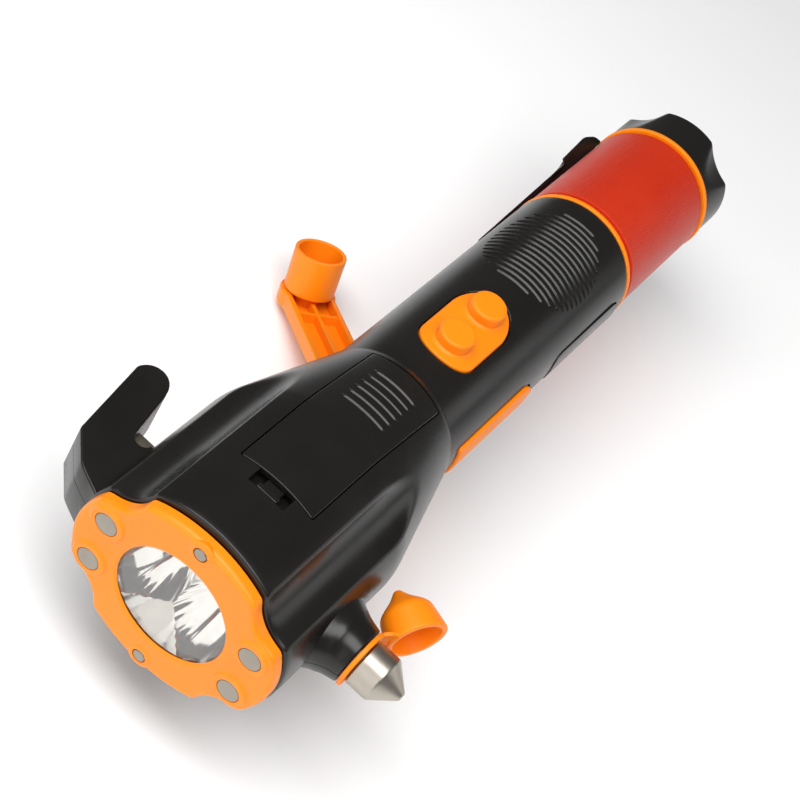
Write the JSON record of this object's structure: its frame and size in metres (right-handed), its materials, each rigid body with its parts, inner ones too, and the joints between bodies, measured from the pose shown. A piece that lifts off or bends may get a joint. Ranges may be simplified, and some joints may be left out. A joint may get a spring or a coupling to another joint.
{
  "type": "hand crank flashlight",
  "caption": "Hand crank torch with a scalloped magnetic bezel, belt cutter hook, glass hammer, battery door, push buttons, fold-out dynamo crank and a red warning lantern.",
  "frame": {"origin": "centre of the tail cap's flat end face, on the lens axis", "axes": "+X along the lens axis towards the bezel, +Z towards the push buttons and the battery door, +Y towards the glass hammer"},
  "size_m": [0.2479, 0.1164, 0.0795],
  "materials": {
    "black_plastic": "satin",
    "orange_plastic": "satin",
    "orange_rubber": "matte",
    "red_lens": "gloss",
    "clear_window": "gloss",
    "mirror_coat": "mirror",
    "hammer_steel": "satin",
    "inner_steel": "satin",
    "magnet_plate": "satin",
    "circuit_board": "satin",
    "led_white": "gloss",
    "gear_nylon": "satin",
    "cell_jacket": "gloss",
    "contact_brass": "satin"
  },
  "bodies": {
    "casing": {"lower_housing": "black_plastic", "upper_housing": "black_plastic", "battery_tray": "black_plastic", "side_panel": "black_plastic", "belt_clip": "black_plastic", "tail_cap": "black_plastic", "torch_switch": "black_plastic", "lantern_switch": "black_plastic", "bezel": "orange_plastic", "lantern_ring_front": "orange_plastic", "lantern_ring_rear": "orange_plastic", "button_pad": "orange_rubber", "lantern_lens": "red_lens", "lens_window": "clear_window", "reflector": "mirror_coat", "hammer": "hammer_steel", "cutter_blade": "inner_steel", "idler_axle": "inner_steel", "generator": "inner_steel", "gear_plate": "inner_steel", "charging_socket": "inner_steel", "housing_screw_1": "inner_steel", "housing_screw_2": "inner_steel", "housing_screw_3": "inner_steel", "housing_screw_4": "inner_steel", "magnet_1": "magnet_plate", "magnet_2": "magnet_plate", "magnet_3": "magnet_plate", "magnet_4": "magnet_plate", "bezel_stud_top": "magnet_plate", "bezel_stud_bottom": "magnet_plate", "led_board": "circuit_board", "lantern_board": "circuit_board", "switch_board": "circuit_board", "led_1": "led_white", "led_2": "led_white", "led_3": "led_white", "battery_1": "cell_jacket", "battery_2": "cell_jacket", "battery_3": "cell_jacket", "battery_contacts_front": "contact_brass", "battery_contacts_rear": "contact_brass"},
    "crank_rotor": {"crank_hub": "orange_plastic", "crank_hinge_pin": "inner_steel", "crank_shaft": "inner_steel", "drive_gear": "gear_nylon"},
    "crank_lever": {"crank_arm": "orange_plastic", "knob_rivet": "inner_steel"},
    "knob": {"crank_knob": "orange_plastic"},
    "idler": {"idler_gear": "gear_nylon"},
    "generator_rotor": {"generator_pinion": "contact_brass", "generator_shaft": "inner_steel"},
    "torch_key": {"torch_button": "orange_rubber"},
    "lantern_key": {"lantern_button": "orange_rubber"},
    "door": {"battery_door": "black_plastic"},
    "flap": {"port_cover": "orange_rubber"},
    "striker_cap": {"hammer_cap": "orange_rubber"}
  },
  "joints": [
    {"name": "crank_spin", "type": "hinge", "parent": "casing", "child": "crank_rotor", "pos_m": [0.1519, 0, -0.0239], "axis": [0, 0, 1], "continuous": true},
    {"name": "crank_lift", "type": "hinge", "parent": "crank_rotor", "child": "crank_lever", "pos_m": [0.14083, -0.01155, -0.0239], "axis": [0.7218, -0.6921, 0], "range_deg": [-21.4, 0]},
    {"name": "knob_spin", "type": "hinge", "parent": "crank_lever", "child": "knob", "pos_m": [0.10274, -0.05126, -0.04546], "axis": [-0.2525, -0.2634, 0.9311], "continuous": true},
    {"name": "idler_spin", "type": "hinge", "parent": "casing", "child": "idler", "pos_m": [0.1366, 0, -0.009], "axis": [0, 0, 1], "continuous": true},
    {"name": "generator_spin", "type": "hinge", "parent": "casing", "child": "generator_rotor", "pos_m": [0.1221, 0, -0.0075], "axis": [0, 0, 1], "continuous": true},
    {"name": "torch_button_press", "type": "slide", "parent": "casing", "child": "torch_key", "axis": [0, 0, -1], "range_m": [0, 0.0012], "stiffness_N_per_m": 1200, "springref_m": -0.0005},
    {"name": "lantern_button_press", "type": "slide", "parent": "casing", "child": "lantern_key", "axis": [0, 0, -1], "range_m": [0, 0.0012], "stiffness_N_per_m": 1200, "springref_m": -0.0005},
    {"name": "door_hinge", "type": "hinge", "parent": "casing", "child": "door", "pos_m": [0.1614, 0, 0.0219], "axis": [0, -1, 0], "range_deg": [0, 80]},
    {"name": "flap_hinge", "type": "hinge", "parent": "casing", "child": "flap", "pos_m": [0.154, 0.0216, 0], "axis": [0, 0, -1], "range_deg": [0, 100]},
    {"name": "cap_swing", "type": "hinge", "parent": "casing", "child": "striker_cap", "pos_m": [0.2206, 0.04, 0], "axis": [0, 1, 0], "continuous": true}
  ],
  "couplings": [
    {"joint": "idler_spin", "follows": "crank_spin", "ratio": -3.75},
    {"joint": "generator_spin", "follows": "crank_spin", "ratio": 13.125}
  ]
}
